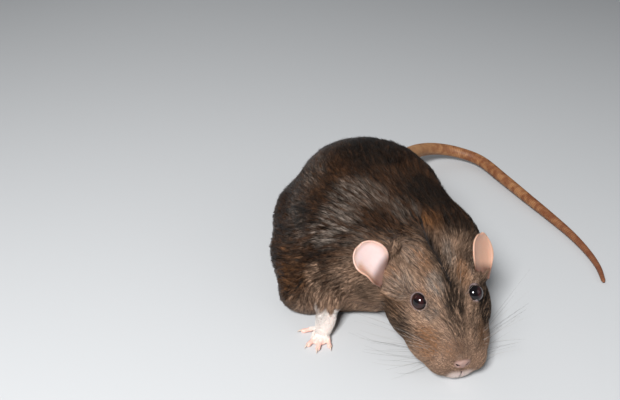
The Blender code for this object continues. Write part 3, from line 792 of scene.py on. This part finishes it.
skin.data.materials.clear()
skin.data.materials.append(hide)
for paw in paws:
    paw.data.materials.append(hide)
    fused_on(skin, paw)

# Nostrils, the parting of the lip and the mouth line: narrow grooves carved into the hide along
# its surface. Each nostril is a comma that opens forwards and curls round to the side.

NOSTRIL = ((-2.4, 1.3, -1.0), (-0.4, 1.9, -0.7), (0.6, 2.9, 0.0), (1.2, 3.7, 1.1))
MOUTH = ((-0.6, 0.0, -10.6), (3.4, 3.4, -12.6), (8.0, 6.6, -12.4), (12.5, 8.8, -11.4), (16.5, 10, -10))
GROOVES = ((NOSTRIL, (0.55, 0.6, 0.5, 0.3), False), (MOUTH, (0.42, 0.45, 0.45, 0.4, 0.25), True))
LIP_PARTING = ((-1.0, 0.0, -2.6), (-1.6, 0.0, -5.0), (-1.6, 0.0, -8.0), (-0.6, 0.0, -10.6))
hide_tree = BVHTree.FromObject(skin, bpy.context.evaluated_depsgraph_get())
for side in (RIGHT, LEFT):
    for line, radii, on_surface in GROOVES:
        rows = []
        for (x, y, z), radius in zip(line, radii):
            point = on_head(x, y * side, z)
            if on_surface:
                point = np.array(hide_tree.find_nearest(Vector(point * MM))[0]) / MM
            rows.append((*point, radius))
        groove = limb("groove", rows, sides=10, per_span=4)
        groove.data.materials.append(opening)
        fused_on(skin, groove, "DIFFERENCE")
rows = []
for x, y, z in LIP_PARTING:
    point = np.array(hide_tree.find_nearest(Vector(on_head(x, y, z) * MM))[0]) / MM
    rows.append((*point, 0.3))
groove = limb("groove", rows, sides=10, per_span=4)
groove.data.materials.append(opening)
fused_on(skin, groove, "DIFFERENCE")

for name in SIDES:
    leaf = ear_leaf(name)
    leaf.data.materials.append(ear_skin)
    fused_on(skin, leaf)
lash = tail_lash()
lash.data.materials.append(tail_skin)
fused_on(skin, lash)
select_only(skin)
bpy.ops.object.shade_smooth()


def attribute(mesh, name, values):
    made = mesh.attributes.new(name, "FLOAT", "POINT")
    made.data.foreach_set("value", np.asarray(values, np.float32))


places, ways = points_of(skin.data)
for name, values in {**markings(places), **ear_marks(places, ways)}.items():
    attribute(skin.data, name, values)
index, far = nearest(places, TAIL_LINE)
run = index / len(TAIL_LINE)
attribute(skin.data, "tail_pale", 0.7 * (1 - ramp(run, 0.12, 0.42)))
attribute(skin.data, "tail_ruddy", 0.4 * ramp(run, 0.1, 0.35) + 0.45 * ramp(run, 0.55, 0.95))
attribute(skin.data, "tail_gap", 0.55 * (index % 3 == 2))
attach(skin, "root")
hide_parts(*FLESH, *(foot_row[0] for foot_row in FEET), "ear_right", "ear_left",
            "tail_1", "tail_2", "tail_3", "tail_4", "tail_5")

# Eyes: round, wet and nearly black, with a dark ruby iris round a wide pupil. Each is a ball
# turned to look forwards, outwards and up, seated in its lids. The left one sits a little higher
# and closer in.

eye_finish, nodes, links, shader = new_material("eye_wet")
iris = colour_mix(nodes, links, marking(nodes, "iris"), (0.003, 0.002, 0.0025), (0.024, 0.007, 0.007))
links.new(iris, shader.inputs["Base Color"])
shader.inputs["Roughness"].default_value = 0.1
shader.inputs["Specular IOR Level"].default_value = 0.25
shader.inputs["Coat Weight"].default_value = 0.45
shader.inputs["Coat Roughness"].default_value = 0.02
for name, side in SIDES.items():
    look = unit([np.array((EYE_LOOK[0], EYE_LOOK[1] * side, EYE_LOOK[2])) @ HEAD_AXES])[0]
    centre = on_head(*EYE_PLACES[side])
    bpy.ops.mesh.primitive_uv_sphere_add(segments=72, ring_count=48, radius=EYE_RADIUS * MM,
                                         location=Vector(centre) * MM)
    eye = bpy.context.object
    eye.name = "eyeball_" + name
    eye.data.name = "eyeball_" + name
    bpy.ops.object.transform_apply(location=True, rotation=True, scale=True)
    bpy.ops.object.shade_smooth()
    eye.data.materials.append(eye_finish)
    spots, _ = points_of(eye.data)
    off_axis = np.degrees(np.arccos(np.clip((spots - centre) @ look / EYE_RADIUS, -1, 1)))
    attribute(eye.data, "iris", ramp(off_axis, 16, 30) * (1 - ramp(off_axis, 44, 58)))
    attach(eye, "root")
    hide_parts("eye_" + name)

# Claws: short curved slips of pale horn at the end of each finger and toe. Each is a small tapered
# limb that starts inside the fingertip and bends down towards the floor.

claw_finish, nodes, links, shader = new_material("claw_horn")
shader.inputs["Base Color"].default_value = (0.62, 0.48, 0.38, 1)
shader.inputs["Roughness"].default_value = 0.35
claw_pieces = []
for tip, way, radius in claw_places:
    rows = ((*(tip - way * 0.5), radius * 0.42),
            (*(tip + way * 0.7 + Vector((0, 0, 0.12))), radius * 0.36),
            (*(tip + way * 1.7 - Vector((0, 0, 0.25))), radius * 0.2),
            (*(tip + way * 2.3 - Vector((0, 0, 0.85 * radius))), radius * 0.06))
    claw_pieces.append(limb("claw", rows, sides=8, per_span=3))
claws = joined("claws", claw_pieces)
claws.data.materials.append(claw_finish)
bpy.ops.object.shade_smooth()
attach(claws, "root")

# The coat: short glossy guard hair that lies back from the nose, over the back and down the sides.
# Each tuft is a thin bent blade rooted in the hide. Neighbours draw together at their tips, as hair
# does, and each tuft carries its place on an unwrap of the hide, its shade and the markings.

COAT_TUFTS = 136000
TUFTS_A_PIECE = 19500
LOCKS = 9800
GUARD_SHARE = 0.06
RUFF = ((-25, -60.5, 57), (11, 9, 12))
ROOT_DEPTH, FLOOR_GAP = 0.25, 0.15
PATCH = 0.003
draw = np.random.default_rng(7)

select_only(skin)
bpy.ops.object.mode_set(mode="EDIT")
bpy.ops.mesh.select_all(action="SELECT")
bpy.ops.uv.smart_project(angle_limit=1.15, island_margin=0.002)
bpy.ops.object.mode_set(mode="OBJECT")
skin.data.uv_layers[0].name = "hide_map"


def triangles_of(mesh):
    """Corner vertices, corner loops and material of each triangle."""
    mesh.calc_loop_triangles()
    count = len(mesh.loop_triangles)
    corners, loops, polygons = np.empty(count * 3, int), np.empty(count * 3, int), np.empty(count, int)
    mesh.loop_triangles.foreach_get("vertices", corners)
    mesh.loop_triangles.foreach_get("loops", loops)
    mesh.loop_triangles.foreach_get("polygon_index", polygons)
    finish = np.empty(len(mesh.polygons), int)
    mesh.polygons.foreach_get("material_index", finish)
    return corners.reshape(-1, 3), loops.reshape(-1, 3), finish[polygons]


places, ways = points_of(skin.data)
corners, loops, finish = triangles_of(skin.data)
flat = np.empty(len(skin.data.loops) * 2, np.float32)
skin.data.uv_layers[0].data.foreach_get("uv", flat)
unwrap = flat.reshape(-1, 2)
middles = places[corners].mean(axis=1)
first_corner = places[corners[:, 0]]
facing = np.cross(places[corners[:, 1]] - first_corner, places[corners[:, 2]] - first_corner)
area = np.linalg.norm(facing, axis=1) / 2
facing = unit(facing)
marked = markings(middles)
head_middles = in_head(middles)
length_here = coat_length(middles)
wanted = 1.0 / np.maximum(length_here, 1.2) ** 0.85
wanted *= np.where(finish == 0, 1.0, 0.0)
wanted *= 1 - marked["lid"]
wanted *= 1 - marked["nose"]
wanted *= 1 - marked["bare"]
on_belly = (facing[:, 2] < -0.55) & (head_middles[:, 0] > 20)
wanted *= np.where(on_belly, 0.3, 1.0) * ramp(middles[:, 2], 0.3, 1.2)
for side in (RIGHT, LEFT):
    far = np.linalg.norm(head_middles - EYE_PLACES[side], axis=1)
    wanted *= ramp(far, EYE_RADIUS + 0.15, EYE_RADIUS + 0.35)
share = area * wanted
chosen = draw.choice(len(area), COAT_TUFTS, p=share / share.sum())
a = np.sqrt(draw.random(COAT_TUFTS))
b = draw.random(COAT_TUFTS)
weights = np.column_stack([1 - a, a * (1 - b), a * b])


def spread_over(values, index):
    """Values at the tufts' roots from those at the triangle's corners."""
    return np.einsum("nk,nkd->nd", weights, values[index[chosen]])


roots = spread_over(places, corners)
normals = unit(spread_over(ways, corners))
spots = spread_over(unwrap.astype(float), loops)
length = coat_length(roots) * draw.uniform(0.78, 1.15, COAT_TUFTS)
way = lie(roots, normals)
across = np.cross(normals, way)


def swirl(places, size, seed):
    """A slow wandering value of about -1 to 1, for cowlicks and partings."""
    turns = np.random.default_rng(seed)
    total = np.zeros(len(places))
    for _ in range(6):
        wave = turns.normal(size=3)
        wave *= turns.uniform(0.6, 1.4) / size / np.linalg.norm(wave)
        total += np.sin(places @ wave * 2 * math.pi + turns.uniform(0, 7))
    return total / 3


def streaks(places, ways, size, reach, seed):
    """A value of about -1 to 1 that changes fast across the lie of the hair and slowly along it."""
    turns = np.random.default_rng(seed)
    total = np.zeros(len(places))
    for _ in range(60):
        wave = turns.normal(size=3)
        wave *= turns.uniform(0.6, 1.6) / size / np.linalg.norm(wave)
        along = np.sinc(2 * reach * (ways @ wave))
        total += along * np.sin(places @ wave * 2 * math.pi + turns.uniform(0, 7))
    return total / 2.4


# Each tuft belongs to the lock of the nearest seed hair, leans with it and draws in to its tip
seeds = draw.choice(COAT_TUFTS, LOCKS, replace=False)
finder = KDTree(LOCKS)
for n, seed in enumerate(seeds):
    finder.insert(Vector(roots[seed]), n)
finder.balance()
found = [finder.find(Vector(root)) for root in roots]
lock = np.array([hit[1] for hit in found])
off_lock = np.array([hit[2] for hit in found])
off_lock /= (np.bincount(lock, off_lock) / np.bincount(lock))[lock] * 2 + 1e-6
lock_lean = draw.normal(0, 0.09, LOCKS)
lock_lift = draw.uniform(0.92, 1.06, LOCKS)
lock_shade = draw.random(LOCKS)
lock_glint = draw.random(LOCKS)
lock_grey = draw.random(LOCKS)
on_body = ramp(in_head(roots)[:, 0], 25, 60)
guard = (draw.random(COAT_TUFTS) < GUARD_SHARE) & (length > 2.0)

bend = 0.16 * swirl(roots, 38, 3) + 0.07 * swirl(roots, 13, 4) + lock_lean[lock]
bend = bend + draw.normal(0, 0.06, COAT_TUFTS)
way = unit(way * np.cos(bend)[:, None] + across * np.sin(bend)[:, None])
across = np.cross(normals, way)
length = np.where(guard, 1.2 * length, length)
height = (coat_depth(roots) + 0.12 + 0.03 * length) * lock_lift[lock]
height = height * (1.04 - 0.22 * np.clip(off_lock, 0, 1))
height *= draw.uniform(0.82, 1.0, COAT_TUFTS)
height += np.where(guard, draw.uniform(0.02, 0.08, COAT_TUFTS) * length, 0.0)
height += 1.6 * bump(roots, RUFF[0], RUFF[1]) * draw.random(COAT_TUFTS)
middle = roots + way * (0.45 * length)[:, None] + normals * (0.72 * height)[:, None]
tips = roots + way * (0.96 * length)[:, None] + normals * height[:, None]
draw_in = draw.uniform(0.15, 0.55, COAT_TUFTS) * (0.35 + 0.65 * on_body)
draw_in = np.where(guard, 0.1, draw_in)[:, None]
tips = tips * (1 - draw_in) + tips[seeds][lock] * draw_in

# A tip that the curve of the body would leave in the air, or bury, is laid back at its height
for n in range(COAT_TUFTS):
    hit, normal, _, _ = hide_tree.find_nearest(Vector(tips[n] * MM))
    tips[n] = (hit + normal * (height[n] * MM)) / MM
middle = middle * 0.6 + (roots * 0.5 + tips * 0.5 + normals * (0.25 * height)[:, None]) * 0.4

# Hairs that would lie inside the cup of an ear stay short and close to the hide
caught = np.zeros(COAT_TUFTS, bool)
for name in SIDES:
    root, tall, wide, face = ear_frame(name)
    behind, before = EARS[name]["clear"]
    for spot in (middle, tips):
        from_root = spot - root
        up = from_root @ tall
        ahead = from_root @ face
        over_leaf = (up > 1.2) & (up < EAR_HEIGHT) & (np.abs(from_root @ wide) < EAR_WIDTH / 2)
        caught |= over_leaf & (ahead > behind) & (ahead < before)
middle[caught] = roots[caught] + (middle[caught] - roots[caught]) * 0.2
tips[caught] = roots[caught] + (tips[caught] - roots[caught]) * 0.2
roots = roots - normals * ROOT_DEPTH
for row in (roots, middle, tips):
    row[:, 2] = np.maximum(row[:, 2], FLOOR_GAP)

width = np.clip(0.09 + 0.028 * length, 0.11, 0.34) * draw.uniform(0.75, 1.2, COAT_TUFTS)
width = np.where(guard, 0.6 * width, width)


def streaked(seed):
    """Streaks that are broad on the body and fine on the face."""
    broad, fine = streaks(roots, way, 2.2, 4.5, seed), streaks(roots, way, 0.95, 1.9, seed + 50)
    return broad * on_body + fine * (1 - on_body)


def per_tuft(most):
    return draw.normal(0, most, COAT_TUFTS)


off_nose = ramp(in_head(roots)[:, 0], 2, 18)
shade = 0.52 - 0.07 * off_nose + (0.05 + 0.13 * off_nose + 0.08 * on_body) * streaked(31)
shade = shade + 0.12 * swirl(roots, 16, 21)
shade += 0.3 * on_body * (lock_shade[lock] - 0.5)
shade = shade + per_tuft(0.13) * (0.5 + 0.5 * off_nose)
# Tufts towards the edge of a lock are painted darker: painted shade in the gaps between locks
shade = np.clip(shade - 0.3 * np.clip(off_lock - 0.45, 0, 1) * on_body, 0, 1)
glint = np.clip(0.38 + 0.30 * streaked(32) + 0.3 * (lock_glint[lock] - 0.5) + per_tuft(0.1), 0, 1)
marked = markings(0.5 * roots + 0.5 * tips)
# Grey streaks: partly grizzled hair, partly a painted sheen
sheen_and_grizzle = 0.55 + 0.5 * streaked(33) + 0.2 * (lock_grey[lock] - 0.5) + per_tuft(0.14)
marked["grey"] = marked["grey"] * np.clip(sheen_and_grizzle, 0, 1)
marked["tan"] = marked["tan"] * np.clip(0.80 + 0.27 * streaked(34) + per_tuft(0.12), 0, 1)
marked["white"] = marked["white"] * np.clip(0.98 + 0.1 * streaked(36), 0, 1)
marked["dark"] = marked["dark"] * np.clip(0.92 + 0.35 * streaked(37) + per_tuft(0.1), 0, 1)
marked["ruddy"] = marked["ruddy"] * np.clip(0.65 + 0.4 * streaked(35) + per_tuft(0.14), 0, 1)


def tuft_piece(name, rows):
    """One joined mesh of the given tufts."""
    count = len(rows)
    side = across[rows] * width[rows][:, None] / 2
    ridge = normals[rows] * width[rows][:, None] * 0.3
    base, mid, tip = roots[rows], middle[rows], tips[rows]
    points = np.stack([base - side, base + side, base + ridge, mid - side * 0.8, mid + side * 0.8,
                       mid + ridge * 0.8, tip], axis=1).reshape(-1, 3) * MM
    start = (np.arange(count) * 7)[:, None]
    quads = np.array(((0, 1, 4, 3), (1, 2, 5, 4), (2, 0, 3, 5)))
    ends = np.array(((3, 4, 6), (4, 5, 6), (5, 3, 6), (0, 2, 1)))
    quad_corners = (start[:, :, None] + quads[None]).reshape(count, -1)
    end_corners = (start[:, :, None] + ends[None]).reshape(count, -1)
    corner_list = np.concatenate([quad_corners, end_corners], axis=1).ravel()
    sizes = np.tile(np.array((4, 4, 4, 3, 3, 3, 3)), count)
    mesh = bpy.data.meshes.new(name)
    mesh.vertices.add(count * 7)
    mesh.vertices.foreach_set("co", points.astype(np.float32).ravel())
    mesh.loops.add(len(corner_list))
    mesh.loops.foreach_set("vertex_index", corner_list.astype(np.int32))
    mesh.polygons.add(len(sizes))
    mesh.polygons.foreach_set("loop_start", (np.cumsum(sizes) - sizes).astype(np.int32))
    mesh.update(calc_edges=True)
    mesh.polygons.foreach_set("use_smooth", np.ones(len(sizes), bool))
    attribute(mesh, "run", np.tile((0, 0, 0, 0.5, 0.5, 0.5, 1.0), count))
    attribute(mesh, "shade", np.repeat(shade[rows], 7))
    attribute(mesh, "glint", np.repeat(glint[rows], 7))
    for mark in ("tan", "grey", "white", "dark", "ruddy"):
        attribute(mesh, mark, np.repeat(marked[mark][rows], 7))
    spot = PATCH * np.array(((0, 0), (1, 0), (0.5, 0.1), (0, 0.5), (1, 0.5), (0.5, 0.6), (0.5, 1.0)))
    at = (spots[rows][:, None, :] + (spot - PATCH / 2)[None]).reshape(-1, 2)
    layer = mesh.uv_layers.new(name="OFBake")
    layer.data.foreach_set("uv", at[corner_list].astype(np.float32).ravel())
    made = bpy.data.objects.new(name, mesh)
    bpy.context.collection.objects.link(made)
    return made


coat_finish, nodes, links, shader = new_material("coat_hair")
shader.inputs["Roughness"].default_value = 0.42
shader.inputs["Specular IOR Level"].default_value = 0.14
tipped = nodes.new("ShaderNodeMapRange")
tipped.inputs["From Min"].default_value = 0.2
tipped.inputs["From Max"].default_value = 0.9
links.new(marking(nodes, "run"), tipped.inputs["Value"])
shaded = marking(nodes, "shade")
dark_hair = colour_mix(nodes, links, shaded, (0.002, 0.0014, 0.001), (0.040, 0.025, 0.017))
red_hair = colour_mix(nodes, links, marking(nodes, "glint"), dark_hair, (0.16, 0.070, 0.032))
shown = colour_mix(nodes, links, tipped.outputs["Result"], dark_hair, red_hair)
# On the body the tan and grey are partly a painted sheen, and the dark is partly painted shade
for mark, low, high in (("tan", (0.07, 0.040, 0.025), (0.89, 0.58, 0.395)),
                        ("ruddy", (0.06, 0.025, 0.010), (0.56, 0.24, 0.085)),
                        ("grey", (0.09, 0.070, 0.057), (0.52, 0.43, 0.36)),
                        ("dark", (0.003, 0.002, 0.0015), (0.013, 0.009, 0.006)),
                        ("white", (0.84, 0.77, 0.72), (0.97, 0.94, 0.90))):
    hair = colour_mix(nodes, links, shaded, low, high)
    shown = colour_mix(nodes, links, marking(nodes, mark), shown, hair)
links.new(shown, shader.inputs["Base Color"])

order = np.argsort(roots[:, 1], kind="stable")
for n, first in enumerate(range(0, COAT_TUFTS, TUFTS_A_PIECE)):
    coat = tuft_piece(f"coat_{n + 1}", order[first:first + TUFTS_A_PIECE])
    coat.data.materials.append(coat_finish)
    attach(coat, "root")

# Whiskers: long fine stiff hairs in rows on the whisker pads, swept back and a little down, with
# a few more over each eye and on the cheeks. Some are pale and some dark.

whisker_finish, nodes, links, shader = new_material("whisker_hair")
links.new(colour_mix(nodes, links, marking(nodes, "pale"), (0.035, 0.025, 0.02), (0.46, 0.41, 0.37)),
          shader.inputs["Base Color"])
shader.inputs["Roughness"].default_value = 0.35
WHISKER_RADIUS = 0.048
BROW_AND_CHEEK = (((23, 6.5, 15), (0.25, 0.3, 1.0), 15), ((27, 5.5, 17), (0.5, 0.15, 1.0), 12),
                  ((30, 20, -2), (0.8, 1.0, 0.1), 14))
whisker_rows = []
for side in (RIGHT, LEFT):
    for row in range(5):
        for place_in_row in range(5):
            start = (4.6 + place_in_row * 2.1 + row * 0.3, side * 9, 0.2 - row * 1.8)
            toward = (0.1 + 0.16 * place_in_row, side * 1.0, 0.32 - 0.2 * row)
            whisker_rows.append((start, toward, 18 + 5.0 * place_in_row))
    for (x, y, z), (back, out, up), long in BROW_AND_CHEEK:
        whisker_rows.append(((x, side * y, z), (back, side * out, up), long))
whisker_pieces = []
for start, toward, long in whisker_rows:
    root = np.array(hide_tree.find_nearest(Vector(on_head(*start) * MM))[0]) / MM
    long *= draw.uniform(0.8, 1.12)
    spread = unit([np.array(toward) @ HEAD_AXES + draw.normal(0, 0.12, 3)])[0]
    rows = []
    for t in (0.0, 0.25, 0.5, 0.75, 1.0):
        point = root + spread * long * t + (0.10 * HEAD_BACK - np.array((0, 0, 0.2))) * long * t * t
        point[2] = max(point[2], 0.3)
        rows.append((*point, WHISKER_RADIUS * (1 - 0.8 * t)))
    piece = limb("whisker", rows, sides=5, per_span=3)
    attribute(piece.data, "pale", np.full(len(piece.data.vertices), draw.choice((0.0, 0.2, 0.9))))
    whisker_pieces.append(piece)
whiskers = joined("whiskers", whisker_pieces)
whiskers.data.materials.append(whisker_finish)
bpy.ops.object.shade_smooth()
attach(whiskers, "root")

# The studio: a plain pale floor, one soft key light near the camera, a fill and a pale surround,
# and a camera that looks down on the animal from the front at thirty degrees.

bpy.ops.mesh.primitive_plane_add(size=6.0, location=(0, 0, 0))
floor = bpy.context.object
floor.name = "floor"
floor_finish, nodes, links, shader = new_material("floor_paper")
shader.inputs["Base Color"].default_value = (0.56, 0.57, 0.58, 1)
shader.inputs["Roughness"].default_value = 0.8
floor.data.materials.append(floor_finish)


def soft_light(name, place, aim, size, watts):
    lamp = bpy.data.lights.new(name, "AREA")
    lamp.size = size
    lamp.energy = watts
    made = bpy.data.objects.new(name, lamp)
    bpy.context.collection.objects.link(made)
    made.location = place
    made.rotation_euler = (Vector(aim) - Vector(place)).to_track_quat("-Z", "Y").to_euler()


soft_light("key", (-0.28, -0.60, 0.62), (-0.02, -0.03, 0.03), 0.22, 10.6)
soft_light("fill", (0.7, -0.4, 0.6), (0, 0, 0.03), 0.6, 0.8)
soft_light("rim", (-0.3, 0.7, 0.6), (0, 0, 0.03), 0.5, 0.8)
world = bpy.data.worlds.new("surround")
bpy.context.scene.world = world
world.use_nodes = True
world.node_tree.nodes["Background"].inputs["Color"].default_value = (0.86, 0.90, 0.94, 1)
world.node_tree.nodes["Background"].inputs["Strength"].default_value = 0.19
bpy.context.scene.view_settings.view_transform = "Standard"

CAMERA_PLACE = (-0.0661, -0.3056, 0.205)
camera = bpy.data.objects.new("camera", bpy.data.cameras.new("camera"))
bpy.context.collection.objects.link(camera)
camera.location = CAMERA_PLACE
camera.rotation_euler = (math.radians(60), 0, 0)
camera.data.lens = 38.32
camera.data.sensor_width = 36.0
camera.data.clip_start = 0.01
bpy.context.scene.camera = camera
